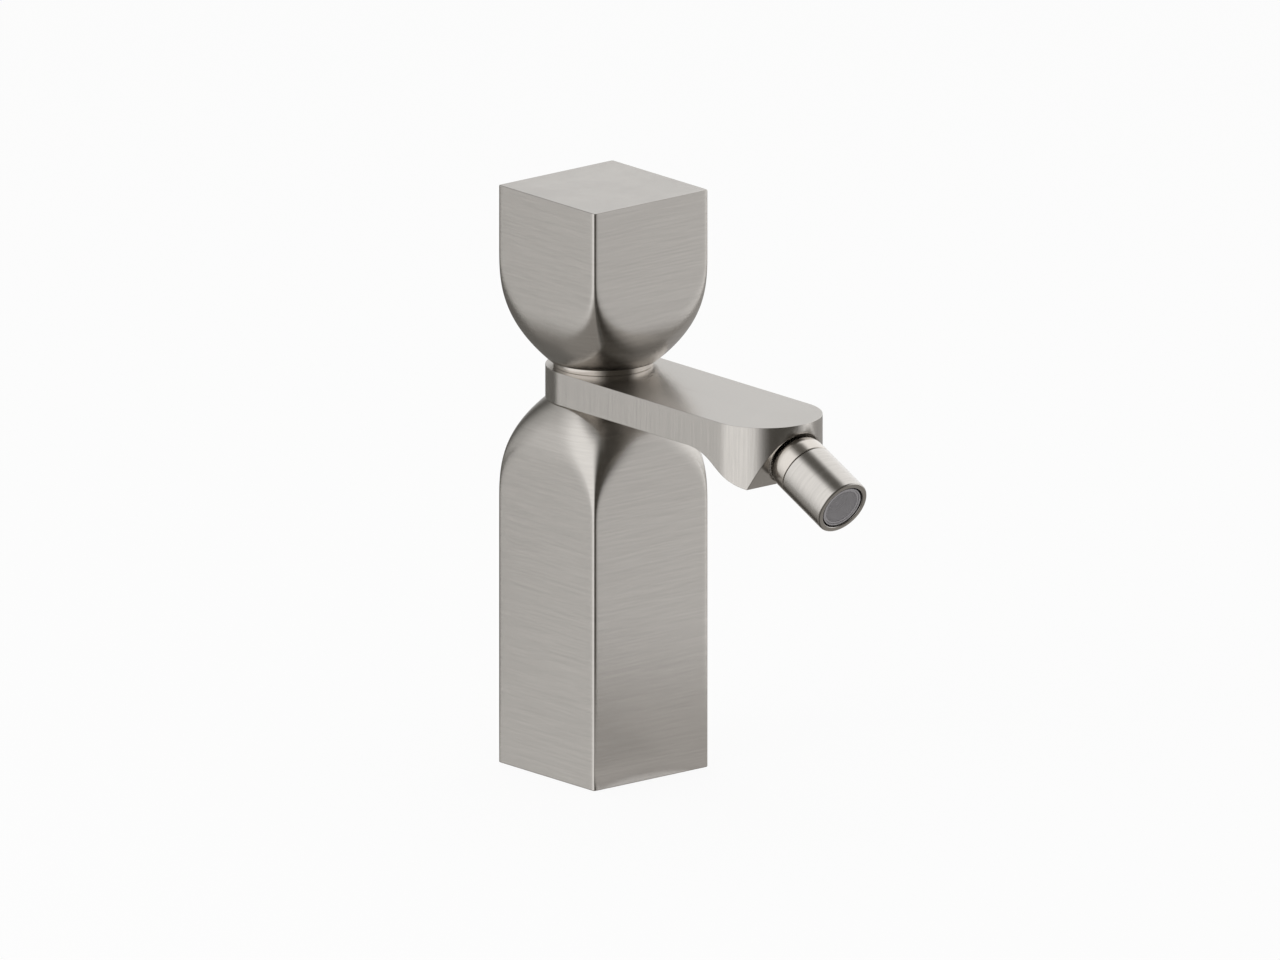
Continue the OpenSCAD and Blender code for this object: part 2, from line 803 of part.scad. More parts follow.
// Outline of the barrel: [radius, distance along the nozzle's axis]
function barrel_outline() = concat(
    [[nozzle_r - edge_chamfer, barrel_z], [nozzle_r, barrel_z + edge_chamfer],
    [nozzle_r, outlet_z - edge_chamfer], [nozzle_r - edge_chamfer, outlet_z],
    [outlet_bore_r, outlet_z], [outlet_bore_r, aerator_rear - washer_t],
    [barrel_way_r, aerator_rear - washer_t]],
    arc(shell_r, acos(barrel_way_r / shell_r), asin(spigot_back / shell_r)),
    [[spigot_r, spigot_back], [spigot_r, barrel_z]]);

// Barrel: screwed in the collar, with the aerator in its end
module nozzle_barrel() {
    color(POLISHED)
        on_nozzle()
            rotate_extrude()
                polygon(barrel_outline());
}

// Washer behind the aerator
module aerator_washer() {
    color(RUBBER)
        on_nozzle()
            translate([0, 0, aerator_rear - washer_t])
                tube(outlet_bore_r - fit_gap, barrel_way_r, washer_t);
}

// Aerator insert: threaded at its rear, with a pocket for the screen in front
module aerator_insert() {
    color(GREY_PLASTIC)
        on_nozzle()
            difference() {
                union() {
                    translate([0, 0, aerator_rear])
                        cylinder(r = outlet_bore_r - fit_gap, h = aerator_thread_len);
                    translate([0, 0, aerator_rear])
                        cylinder(r = aerator_r, h = aerator_len);
                }
                translate([0, 0, aerator_rear - over])
                    cylinder(r = screen_r - 0.7, h = aerator_len);
                translate([0, 0, screen_front - screen_t])
                    cylinder(r = screen_r + fit_gap, h = screen_t + over);
            }
}

// Flow regulator: a plate with a ring of holes
module flow_regulator() {
    color(BLACK_PLASTIC)
        on_nozzle()
            translate([0, 0, aerator_rear + 0.5])
                difference() {
                    cylinder(r = screen_r - 0.7 - fit_gap, h = regulator_t);
                    for (i = [0:regulator_holes - 1])
                        rotate([0, 0, 360 / regulator_holes * i])
                            translate([screen_r / 2, 0, -over])
                                cylinder(r = 0.6, h = regulator_t + 2 * over);
                }
}

// Honeycomb screen at the outlet
module aerator_screen() {
    rows = floor((screen_r - cell_w) / cell_pitch);
    color(GREY_PLASTIC)
        on_nozzle()
            translate([0, 0, screen_front - screen_t])
                difference() {
                    cylinder(r = screen_r, h = screen_t);
                    for (i = [-rows:rows], j = [-rows:rows])
                        if (abs(i + j) <= rows)
                            translate([cell_pitch * (i + j / 2), cell_pitch * j * sqrt(3) / 2, -over])
                                rotate([0, 0, 30])
                                    cylinder(d = cell_w / cos(30), h = screen_t + 2 * over, $fn = 6);
                }
}

column();
core();
core_key();
base_seal();
spout();
spout_oring_lower();
spout_oring_upper();
neck_ring();
cartridge_base();
port_seals();
disc_seals();
fixed_disc();
moving_disc();
cartridge_housing();
glide_ring();
spindle();
spindle_oring();
stop_ring();
cartridge_nut();
handle_insert();
handle();
grub_screw();
ball_stud();
stud_oring();
seat_ring_rear();
seat_ring_front();
nozzle_collar();
nozzle_barrel();
aerator_washer();
aerator_insert();
flow_regulator();
aerator_screen();
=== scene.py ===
import json
import math

import bmesh
import bpy
from mathutils import Matrix, Vector


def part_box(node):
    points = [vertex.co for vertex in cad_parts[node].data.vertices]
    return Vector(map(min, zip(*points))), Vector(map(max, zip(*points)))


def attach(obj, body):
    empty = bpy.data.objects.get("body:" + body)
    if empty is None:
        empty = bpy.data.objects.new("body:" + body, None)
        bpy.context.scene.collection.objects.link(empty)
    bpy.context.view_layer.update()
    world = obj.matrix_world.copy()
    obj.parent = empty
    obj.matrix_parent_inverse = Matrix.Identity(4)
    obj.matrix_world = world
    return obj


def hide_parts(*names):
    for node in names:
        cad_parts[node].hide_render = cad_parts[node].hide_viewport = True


bl_info = {
    "name": "Bidet mixer",
    "version": (1, 0, 0),
    "blender": (4, 5, 0),
    "location": "3D View > Sidebar > Mixer",
    "description": "Builds the visible pieces of a bidet mixer round its packed frame, and its studio",
    "category": "Add Mesh",
}

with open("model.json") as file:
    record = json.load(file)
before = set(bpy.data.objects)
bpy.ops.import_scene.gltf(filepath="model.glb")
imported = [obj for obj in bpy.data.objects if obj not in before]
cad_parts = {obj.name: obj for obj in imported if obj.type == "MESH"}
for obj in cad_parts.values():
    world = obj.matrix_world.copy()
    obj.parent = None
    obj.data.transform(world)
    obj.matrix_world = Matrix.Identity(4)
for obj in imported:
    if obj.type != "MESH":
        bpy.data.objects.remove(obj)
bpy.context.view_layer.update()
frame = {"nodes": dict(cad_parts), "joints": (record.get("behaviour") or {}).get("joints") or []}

MM = 0.001


def frame_mm(node):
    """Lowest and highest corner of a frame node, in millimetres."""
    low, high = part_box(node)
    return low / MM, high / MM


COLUMN_LOW, COLUMN_HIGH = frame_mm("column")
HANDLE_LOW, HANDLE_HIGH = frame_mm("handle")
SPOUT_LOW, SPOUT_HIGH = frame_mm("spout")
NECK_LOW, NECK_HIGH = frame_mm("neck_ring")
NOZZLE_AXIS = next(j for j in frame["joints"] if j["name"] == "nozzle_swivel")
PIVOT = Vector(NOZZLE_AXIS["pos_m"]) / MM
NOZZLE_DROP = math.radians(25)
NOZZLE_TURN = math.pi / 2 + NOZZLE_DROP
ON_NOZZLE = Matrix.Translation(PIVOT) @ Matrix.Rotation(NOZZLE_TURN, 4, "X")
UPRIGHT = Matrix.Identity(4)
# Edges that turn more than this are rounded, and shade as edges where they are left
CREASE = math.radians(35)


def to_linear(colour):
    """The linear values of an sRGB hex colour."""
    values = [int(colour[i:i + 2], 16) / 255 for i in (1, 3, 5)]
    return [v / 12.92 if v <= 0.04045 else ((v + 0.055) / 1.055) ** 2.4 for v in values]


def length(name, description, millimetres):
    """A length property, given in millimetres and kept in metres."""
    return bpy.props.FloatProperty(
        name=name, description=description, default=millimetres * MM, min=0, unit="LENGTH", precision=5)


def colour(name, description, value):
    """A colour property, given as an sRGB hex colour."""
    return bpy.props.FloatVectorProperty(
        name=name, description=description, default=to_linear(value), min=0, max=1, size=3,
        subtype="COLOR")


def factor(name, description, value, most=1.0):
    """A plain number from 0 up to most."""
    return bpy.props.FloatProperty(name=name, description=description, default=value, min=0, max=most)


class MixerSizes(bpy.types.PropertyGroup):
    """Sizes of the visible pieces"""
    corner_radius: length("Corner radius", "Radius of the upright corners of column and handle", 0.8)
    round_end: length("Round end", "Radius of the round ends of column and handle", 16.6)
    face_blend: length("Face blend", "Height over which a flat face curves in to the round end", 17)
    corner_blend: length("Corner blend", "Height over which a corner runs in to the round end", 33.5)
    edge_softness: length("Edge softness", "Radius of the brushed pieces' edges", 0.3)
    rim_softness: length("Rim softness", "Radius of the nozzle's outer rim", 0.5)
    lip_start: length("Lip start", "Distance from the column's axis to the start of the lip", 59.977)
    mesh_pitch: length("Mesh pitch", "Spacing of the outlet screen's wires", 0.36)
    mesh_wire: length("Mesh wire", "Width of the outlet screen's wires", 0.18)


class MixerFinish(bpy.types.PropertyGroup):
    """Colours and surface of the materials"""
    nickel: colour("Brushed nickel", "Colour of the brushed nickel", "#cac6c1")
    polished: colour("Polished nickel", "Colour of the polished nickel", "#d3cdc6")
    brass: colour("Brass", "Colour of the turned brass", "#c9a768")
    steel: colour("Stainless steel", "Colour of the key, the stop ring and the screw", "#b3b5b6")
    ceramic: colour("Ceramic", "Colour of the sintered discs", "#ece9e0")
    acetal: colour("Acetal", "Colour of the white mouldings", "#dcdcd8")
    resin: colour("Grey resin", "Colour of the aerator's mouldings", "#a9a6a8")
    nylon: colour("Glass-filled nylon", "Colour of the black mouldings", "#2d2d2f")
    rubber: colour("Nitrile rubber", "Colour of the seals", "#1d1d1e")
    brush_roughness: factor("Brush roughness", "Mean roughness of the brushed nickel", 0.22)
    brush_width: length("Brush line width", "Width of one brush line", 0.5)
    brush_length: length("Brush line length", "Length of one brush line", 18)


class MixerStudio(bpy.types.PropertyGroup):
    """Camera, floor and light"""
    view_width: length("View width", "Width of what the camera sees", 385.54)
    aim_right: length("Aim to the right", "How far right of the column's axis the camera aims", 11.054)
    aim_up: length("Aim up", "How far above the column's foot the camera aims", 85.65)
    view_azimuth: bpy.props.FloatProperty(
        name="View azimuth", default=math.radians(-40), subtype="ANGLE",
        description="Turn of the camera from the spout's side, about the upright axis")
    view_elevation: bpy.props.FloatProperty(
        name="View elevation", default=math.radians(15), subtype="ANGLE",
        description="Height of the camera above level")
    floor_colour: colour("Floor", "Colour of the pale floor", "#efefee")
    floor_white: factor("Floor whiteness", "Share of plain white in the floor the camera sees", 0.92)
    floor_in_metal: colour("Floor in metal", "Colour of the floor metal shows from above", "#979490")
    room_light: factor("Room light", "Strength of the world's light on matt surfaces", 0.6)


def mm(name):
    """A length of the sizes group, in millimetres."""
    return getattr(bpy.context.scene.mixer_sizes, name) / MM


# Materials

def add_node(tree, kind, settings=(), links=()):
    """Adds a node, sets its properties and sockets, and links other nodes' outputs to its inputs."""
    node = tree.nodes.new(kind)
    for name, value in dict(settings).items():
        if isinstance(name, str) and hasattr(node, name):
            setattr(node, name, value)
        else:
            node.inputs[name].default_value = value
    for name, (source, output) in dict(links).items():
        tree.links.new(source.outputs[output], node.inputs[name])
    return node


def new_material(name):
    """An empty material and its node tree."""
    material = bpy.data.materials.new(name)
    material.use_nodes = True
    material.node_tree.nodes.clear()
    return material, material.node_tree


def shade(colour_values, amount):
    """A colour with an alpha, lighter or darker by a share."""
    return [min(1, c * (1 + amount)) for c in colour_values] + [1]


def pattern(tree, scale, centre=(0, 0, 0), turn=(0, 0, 0)):
    """Object coordinates with one unit every scale millimetres along each axis of a turned pattern."""
    place = add_node(tree, "ShaderNodeTexCoord")
    return add_node(
        tree, "ShaderNodeMapping",
        {"vector_type": "TEXTURE", "Location": [c * MM for c in centre], "Rotation": turn,
         "Scale": [s * MM for s in scale]},
        {"Vector": (place, "Object")})


def surface(material, tone, sheen, grain, settings, links=()):
    """Joins a material's colour, roughness and grain, each of them drawn by a noise. Tone is the noise,
    the base colour, its contrast and how far from the noise's middle its two shades are reached, sheen is
    the noise, the roughness and its spread, and grain is the noise and its depth in millimetres."""
    tree = material.node_tree
    noise, base, contrast, reach = tone
    shades = add_node(tree, "ShaderNodeValToRGB", links={"Fac": noise})
    for stop, side in zip(shades.color_ramp.elements, (-1, 1)):
        stop.position = 0.5 + side * reach
        stop.color = shade(base, side * contrast)
    noise, roughness, spread = sheen
    gloss = add_node(tree, "ShaderNodeMapRange",
                     {"From Min": 0.3, "From Max": 0.7, "To Min": roughness - spread,
                      "To Max": roughness + spread}, {"Value": noise})
    noise, depth = grain
    relief = add_node(tree, "ShaderNodeBump", {"Strength": 1.0, "Distance": depth * MM},
                      {"Height": noise})
    shader = add_node(tree, "ShaderNodeBsdfPrincipled", settings,
                      {"Base Color": (shades, "Color"), "Roughness": (gloss, "Result"),
                       "Normal": (relief, "Normal"), **dict(links)})
    add_node(tree, "ShaderNodeOutputMaterial", links={"Surface": (shader, "BSDF")})
    return material


def brushed_metal(name, base, lines, across, roughness, contrast, centre=(0, 0, 0), turn=(0, 0, 0),
                  depth=0.0012):
    """Metal rubbed in one direction: lines gives a brush line's size along each axis of the pattern,
    and across is the direction in which the surface scatters light most, or None for level."""
    material, tree = new_material(name)
    place = pattern(tree, lines, centre, turn)
    fine = add_node(tree, "ShaderNodeTexNoise", {"Scale": 1.0, "Detail": 3.0, "Roughness": 0.6},
                    {"Vector": (place, "Vector")})
    broad = add_node(tree, "ShaderNodeTexNoise", {"Scale": 0.31, "Detail": 2.0, "Roughness": 0.5},
                     {"Vector": (place, "Vector")})
    both = add_node(tree, "ShaderNodeMix", {"data_type": "FLOAT", "Factor": 0.2},
                    {"A": (fine, "Fac"), "B": (broad, "Fac")})
    if across is None:
        normal = add_node(tree, "ShaderNodeNewGeometry")
        spread = add_node(tree, "ShaderNodeVectorMath", {"operation": "CROSS_PRODUCT", 1: (0, 0, 1)},
                          {0: (normal, "Normal")})
    else:
        spread = add_node(tree, "ShaderNodeVectorTransform",
                          {"vector_type": "VECTOR", "convert_from": "OBJECT", "convert_to": "WORLD",
                           "Vector": across})
    return surface(material, tone=((both, "Result"), base, contrast, 0.18),
                   sheen=((broad, "Fac"), roughness, 0.02), grain=((fine, "Fac"), depth),
                   settings={"Metallic": 1.0, "Anisotropic": 0.3}, links={"Tangent": (spread, "Vector")})


def smooth_material(name, base, roughness, spread, grain_size, depth, contrast, **settings):
    """A surface with the same fine grain in every direction: polished, drawn, moulded or sintered. The
    grain's size and depth are in millimetres."""
    material, tree = new_material(name)
    place = pattern(tree, (grain_size,) * 3)
    fine = add_node(tree, "ShaderNodeTexNoise", {"Scale": 1.0, "Detail": 3.0, "Roughness": 0.55},
                    {"Vector": (place, "Vector")})
    patches = add_node(tree, "ShaderNodeTexNoise", {"Scale": 0.07, "Detail": 2.0},
                       {"Vector": (place, "Vector")})
    return surface(material, tone=((fine, "Fac"), base, contrast, 0.2),
                   sheen=((patches, "Fac"), roughness, spread), grain=((fine, "Fac"), depth),
                   settings=settings)


MATERIALS = {}


def make_materials():
    """Every finish on the mixer, under the name that its pieces use."""
    look = bpy.context.scene.mixer_finish
    width, long = look.brush_width / MM, look.brush_length / MM
    rough = look.brush_roughness
    along_nozzle = (0, -math.cos(NOZZLE_DROP), -math.sin(NOZZLE_DROP))
    # The numbers of a smooth material are its roughness and that one's spread, the size and depth of its
    # grain, and its contrast. Those of a brushed one are its roughness and contrast.
    MATERIALS.update(
        # Nickel plate on brass, brushed by hand. Real brush lines are 0.05 mm wide; they are drawn at
        # 0.5 mm so that they show. The eye sees a soft satin metal, and light spreads across the lines.
        bar=brushed_metal("nickel_brushed_level", look.nickel, (long, long, width), (0, 0, 1),
                          rough, 0.06),
        plate_edge=brushed_metal("nickel_brushed_upright", look.nickel, (width, width, long), None,
                                 rough, 0.07),
        flat_top=brushed_metal("nickel_brushed_lengthwise", look.nickel, (width, long, long), (1, 0, 0),
                               rough + 0.13, 0.03),
        # The barrel is brushed in a lathe, so its lines run round it
        barrel=brushed_metal("nickel_brushed_round", look.nickel, (long, long, width), along_nozzle,
                             rough, 0.06, centre=PIVOT, turn=(NOZZLE_TURN, 0, 0)),
        # The same plate buffed on a wheel: sharper reflections, a warmer tone, the finest of swirl marks
        polished=smooth_material("nickel_polished", look.polished, 0.2, 0.03, 0.4, 0.001, 0.015,
                                 Metallic=1.0),
        # Free-cutting brass as turned: warm yellow, with fine tool marks round the upright axis
        brass=brushed_metal("brass_turned", look.brass, (6, 6, 0.25), (0, 0, 1), 0.3, 0.06, depth=0.01),
        # Stainless steel as drawn: cool grey, half matt
        steel=smooth_material("stainless_steel_drawn", look.steel, 0.32, 0.05, 0.3, 0.006, 0.04,
                              Metallic=1.0),
        # Alumina, lapped flat: off-white with a soft even gloss. Its grain is finer than a tenth of a
        # millimetre and is drawn coarser.
        ceramic=smooth_material("alumina_lapped", look.ceramic, 0.25, 0.05, 0.2, 0.001, 0.02, IOR=1.76),
        # Injection-moulded acetal: milky white and slightly waxy
        acetal=smooth_material("acetal_moulded", look.acetal, 0.42, 0.05, 0.5, 0.004, 0.02, IOR=1.48),
        # Grey acetal of the aerator, spark-eroded mould: an even matt grey
        resin=smooth_material("grey_acetal_moulded", look.resin, 0.46, 0.05, 0.3, 0.004, 0.03, IOR=1.48),
        # Glass-filled nylon: near black, with a dry fine grain from the fibres
        nylon=smooth_material("nylon_glass_filled", look.nylon, 0.55, 0.08, 0.35, 0.01, 0.12, IOR=1.53),
        # Moulded nitrile: black, matt, with a faint bloom
        rubber=smooth_material("nitrile_rubber", look.rubber, 0.62, 0.08, 0.4, 0.008, 0.15, IOR=1.5),
    )


# Shapes, all in millimetres until they are placed

def round_edges(bm, width, segments=3, test=lambda edge: True):
    """Rounds every sharp edge that passes the test."""
    sharp = [e for e in bm.edges if e.is_manifold and e.calc_face_angle(0) > CREASE and test(e)]
    bmesh.ops.bevel(bm, geom=sharp, offset=width, offset_type="OFFSET", affect="EDGES",
                    segments=segments, profile=0.5, material=-1, clamp_overlap=True)


def close_seams(bm):
    """Merges doubled points and turns every face outwards."""
    bmesh.ops.remove_doubles(bm, verts=bm.verts, dist=0.001)
    bmesh.ops.recalc_face_normals(bm, faces=bm.faces)


def wrap(bm, rings):
    """Covers a stack of rings of points, all with the same count: a grid is laid on them."""
    count = len(rings[0])
    verts = bmesh.ops.create_grid(bm, x_segments=count, y_segments=len(rings) - 1, size=1)["verts"]
    for i, vert in enumerate(verts):
        vert.co = rings[i // (count + 1)][i % (count + 1) % count]
    close_seams(bm)


def turned(outline, softness=0.0, steps=96, test=lambda edge: True, segments=3):
    """Turns a closed outline of (radius, height) round the Z axis and rounds its sharp edges."""
    bm = bmesh.new()
    verts = [bm.verts.new((r, 0, z)) for r, z in outline]
    edges = [bm.edges.new(pair) for pair in zip(verts, verts[1:] + verts[:1])]
    bmesh.ops.spin(bm, geom=verts + edges, cent=(0, 0, 0), axis=(0, 0, 1), angle=math.tau,
                   steps=steps, use_merge=True)
    close_seams(bm)
    if softness:
        round_edges(bm, softness, segments, test)
    return bm


def arc(radius, start, end, steps=12):
    """Points (radius, height) of an arc about the origin, from one angle in degrees to another."""
    angles = [math.radians(start + (end - start) * i / steps) for i in range(steps + 1)]
    return [(radius * math.cos(a), radius * math.sin(a)) for a in angles]


def block(low, high):
    """A box between two corners."""
    bm = bmesh.new()
    bmesh.ops.create_cube(bm, size=1)
    low, high = Vector(low), Vector(high)
    bmesh.ops.scale(bm, vec=high - low, verts=bm.verts)
    bmesh.ops.translate(bm, vec=(low + high) / 2, verts=bm.verts)
    return bm


def object_from(name, bm):
    """Makes an object at the origin from a shape in metres."""
    mesh = bpy.data.meshes.new(name)
    bm.to_mesh(mesh)
    bm.free()
    piece = bpy.data.objects.new(name, mesh)
    bpy.context.scene.collection.objects.link(piece)
    return piece


def placed(name, bm, place=UPRIGHT):
    """Makes a piece from a shape in millimetres, put in its place in the frame."""
    bmesh.ops.transform(bm, matrix=Matrix.Scale(MM, 4) @ place, verts=bm.verts)
    return object_from(name, bm)


def cut(piece, cutters):
    """Cuts shapes out of a piece, one after another."""
    for bm, place in cutters:
        tool = placed("cutter", bm, place)
        modifier = piece.modifiers.new("cut", "BOOLEAN")
        modifier.operation = "DIFFERENCE"
        modifier.solver = "EXACT"
        modifier.object = tool
        depsgraph = bpy.context.evaluated_depsgraph_get()
        mesh = bpy.data.meshes.new_from_object(piece.evaluated_get(depsgraph))
        piece.modifiers.remove(modifier)
        old, piece.data = piece.data, mesh
        bpy.data.meshes.remove(old)
        tool_mesh = tool.data
        bpy.data.objects.remove(tool)
        bpy.data.meshes.remove(tool_mesh)
        if not mesh.polygons:
            raise RuntimeError(f"nothing is left of {piece.name}")
    piece.data.name = piece.name


def dress(piece, finishes, body, nodes):
    """Gives a piece its finishes, smooth shading with crisp flats and its body, and hides the frame nodes
    it stands in for.
    """
    mesh = piece.data
    mesh.materials.clear()
    for key in finishes:
        mesh.materials.append(MATERIALS[key])
    mesh.shade_smooth()
    mesh.set_sharp_from_angle(angle=CREASE)
    weighted = piece.modifiers.new("flats", "WEIGHTED_NORMAL")
    weighted.keep_sharp = True
    weighted.weight = 50
    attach(piece, body)
    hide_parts(*nodes)


AROUND = 144
BLEND_RINGS = 40
# Powers of the curves along which the bar's faces and corners run in to its round end
FACE_BEND = 2.5
CORNER_BEND = 2.85


def around(i):
    """Cosine and sine of place i round a ring, exact on the axes."""
    a = math.tau * i / AROUND
    return round(math.cos(a), 9), round(math.sin(a), 9)


def bar_ring(t, z, half):
    """Ring of the square bar at height z, t from the bar's round end: a squared circle with the face's
    half width and the half diagonal of that level."""
    end, corner = mm("round_end"), mm("corner_radius")

    def drawn_in(full, blend, bend):
        return full - (full - end) * max(0, 1 - t / blend) ** bend

    root = math.sqrt(2)
    face = drawn_in(half, mm("face_blend"), FACE_BEND)
    diagonal = drawn_in(half * root - corner * (root - 1), mm("corner_blend"), CORNER_BEND)
    power = math.log(2) / math.log(face * root / diagonal)

    def squared(c):
        return math.copysign(face * abs(c) ** (2 / power), c)

    return [(squared(c), squared(s), z) for c, s in map(around, range(AROUND))]


def circle_ring(radius, z):
    """Round ring with as many points as the bar's."""
    return [(radius * c, radius * s, z) for c, s in map(around, range(AROUND))]


def bar_rings(round_z, square_z, half):
    """Rings of the bar from its square end to its round end."""
    direction = 1 if square_z > round_z else -1
    blend = mm("corner_blend")
    levels = [abs(square_z - round_z)] + [blend * (1 - i / BLEND_RINGS) for i in range(BLEND_RINGS + 1)]
    return [bar_ring(t, round_z + direction * t, half) for t in levels]


def mark_flat(bm, above=0):
    """Gives the level faces above a height the piece's second finish."""
    for face in bm.faces:
        if abs(face.normal.z) > 0.98 and face.calc_center_median().z > above:
            face.material_index = 1


# Sizes used more than once: the radius of the eye in the spout and the neck ring, the underside of the
# spout's plate and the lowest edge of its lip
EYE = 14.25
PLATE_UNDER = SPOUT_HIGH.z - 10
LIP_Y, LIP_Z = -84.893, 105.4


def key_slot(low, high):
    """Cutter for the slot of the key that keeps the core and the spout from turning."""
    return block((-1.55, 12.7, low), (1.55, 15.55, high))


# Pieces

class MIXER_OT_column(bpy.types.Operator):
    """Builds the square column with its round end, bore and seal groove"""
    bl_idname = "mixer.column"
    bl_label = "Column"

    def execute(self, context):
        half, foot, top = COLUMN_HIGH.x, COLUMN_LOW.z, COLUMN_HIGH.z
        bore, head, step = 17, 14.3, top - 23
        seal_in, seal_out, seal_top = 18.55, 20.45, foot + 1.4
        bm = bmesh.new()
        outside = bar_rings(top, foot, half)
        inside = [circle_ring(r, z) for r, z in (
            (head, top), (head, step), (bore, step), (bore, foot), (seal_in, foot), (seal_in, seal_top),
            (seal_out, seal_top), (seal_out, foot))]
        wrap(bm, outside + inside + outside[:1])
        round_edges(bm, mm("edge_softness"), test=lambda e: min(v.co.z for v in e.verts) > top - 0.1
                    or max(v.co.xy.length for v in e.verts) > seal_out + 0.15)
        piece = placed("column_body", bm)
        cut(piece, [(key_slot(step - 1, top + 1), UPRIGHT)])
        dress(piece, ["bar"], "stand", ["column"])
        return {"FINISHED"}


class MIXER_OT_handle(bpy.types.Operator):
    """Builds the hollow square handle with its boss and screw hole"""
    bl_idname = "mixer.handle"
    bl_label = "Handle"

    def execute(self, context):
        half, low, top = HANDLE_HIGH.x, HANDLE_LOW.z, HANDLE_HIGH.z
        bore, cavity, boss, pocket = 15.3, 19, 12, 8.55
        ledge, roof = low + 8, top - 6
        boss_end, pocket_end = 155.5, 168.55
        screw_z, screw, mouth, start, end = 162, 2.55, 3.15, 6, half + 2
        bm = bmesh.new()
        inside = [circle_ring(r, z) for r, z in (
            (bore, low), (bore, ledge), (cavity, ledge), (cavity, roof), (boss, roof),
            (boss, boss_end), (pocket, boss_end), (pocket, pocket_end))]
        wrap(bm, bar_rings(low, top, half) + inside)
        bmesh.ops.holes_fill(bm, edges=[e for e in bm.edges if e.is_boundary], sides=0)
        close_seams(bm)
        round_edges(bm, mm("edge_softness"), test=lambda e: min(v.co.z for v in e.verts) > top - 0.1
                    or max(v.co.z for v in e.verts) < low + 0.1)
        mark_flat(bm, top - 1)
        piece = placed("handle_body", bm)
        hole = turned([(0, start), (screw, start), (screw, half - 0.3), (mouth, half + 0.3), (mouth, end),
                       (0, end)], steps=48)
        cut(piece, [(hole, Matrix.Translation((0, 0, screw_z)) @ Matrix.Rotation(-math.pi / 2, 4, "X"))])
        dress(piece, ["bar", "flat_top"], "handle", ["handle"])
        return {"FINISHED"}


def lip_height(y):
    """Height of the spout's underside at a place along the spout."""
    start, nose, hollow = -mm("lip_start"), 20.922, 44
    steep, slope = math.radians(34), math.radians(15)
    if y >= start:
        return PLATE_UNDER
    if y >= start - nose * math.sin(steep):
        return PLATE_UNDER - nose + math.sqrt(nose * nose - (start - y) ** 2)
    if y >= LIP_Y:
        rise = math.sin(slope) + (y - LIP_Y) / hollow
        return LIP_Z + hollow * (math.cos(slope) - math.sqrt(1 - rise * rise))
    return LIP_Z + (LIP_Y - y) / math.tan(NOZZLE_DROP)


class MIXER_OT_spout(bpy.types.Operator):
    """Builds the flat spout with its lip, eye and ball socket"""
    bl_idname = "mixer.spout"
    bl_label = "Spout"

    def execute(self, context):
        low, high = SPOUT_LOW, SPOUT_HIGH
        radius, top, under = high.x, high.z, PLATE_UNDER
        reach = low.y + radius
        way_low, way_high, chamfered = 119.5, 122.3, EYE + 0.7
        socket, mouth, recess, stud, stud_way = 9.8, 10.09, 5, 4.05, 2.3
        # Along the nozzle: ends of the stud's water way, thread and seat, and the mouth of the socket
        way_end, stud_end, seat, front = -23.2, -19.2, -10.2, -2.9
        bm = block((low.x, low.y, under), (high.x, high.y, top))
        uprights = [e for e in bm.edges if abs(e.verts[0].co.z - e.verts[1].co.z) > 1]
        bmesh.ops.bevel(bm, geom=uprights, offset=radius - 0.001, offset_type="OFFSET", affect="EDGES",
                        segments=24, profile=0.5, material=-1, clamp_overlap=False)
        bmesh.ops.remove_doubles(bm, verts=bm.verts, dist=0.01)
        stations = {round(v.co.y, 4) for v in bm.verts if v.co.y < reach + 0.01}
        start = -mm("lip_start")
        stations |= {start + (reach - start) * i / 18 for i in range(19)} | {LIP_Y}
        last = None
        for y in sorted(stations):
            if last is not None and y - last < 0.05:
                continue
            last = y
            bmesh.ops.bisect_plane(bm, geom=list(bm.verts) + list(bm.edges) + list(bm.faces),
                                   dist=0.002, plane_co=(0, y, 0), plane_no=(0, 1, 0))
        for vert in bm.verts:
            if vert.co.z < under + 0.01:
                vert.co.z = lip_height(vert.co.y)
        close_seams(bm)
        round_edges(bm, mm("edge_softness"))
        mark_flat(bm)
        piece = placed("spout_body", bm)
        eye = turned([(0, under - 1), (chamfered, under - 1), (EYE, under + 0.2), (EYE, top - 0.2),
                      (chamfered, top + 1), (0, top + 1)])
        water = block((-6, reach + 2, way_low), (6, -14, way_high))
        ball = turned([(0, seat), (recess, seat)] + arc(socket, -59.33, -24.6)
                      + [(mouth, front), (0, front)])
        stem = turned([(0, way_end), (stud_way, way_end), (stud_way, stud_end), (stud, stud_end),
                       (stud, seat + 0.3), (0, seat + 0.3)], steps=48)
        cut(piece, [(eye, UPRIGHT), (key_slot(under - 1, under + 2.1), UPRIGHT), (water, UPRIGHT),
                    (ball, ON_NOZZLE), (stem, ON_NOZZLE)])
        dress(piece, ["plate_edge", "flat_top"], "stand", ["spout"])
        return {"FINISHED"}


class MIXER_OT_neck_ring(bpy.types.Operator):
    """Builds the polished ring between the spout and the handle"""
    bl_idname = "mixer.neck_ring"
    bl_label = "Neck ring"

    def execute(self, context):
        low, high, outer = NECK_LOW.z, NECK_HIGH.z, NECK_HIGH.x
        ring = turned([(EYE, low), (outer, low), (outer, high), (EYE, high)], 0.15)
        piece = placed("neck_collar", ring)
        slots = [(block((-20, -1, high - 1.5), (20, 1, high + 1)),
                  Matrix.Rotation(math.radians(turn), 4, "Z")) for turn in (45, -45)]
        cut(piece, slots)
        dress(piece, ["polished"], "stand", ["neck_ring"])
        return {"FINISHED"}


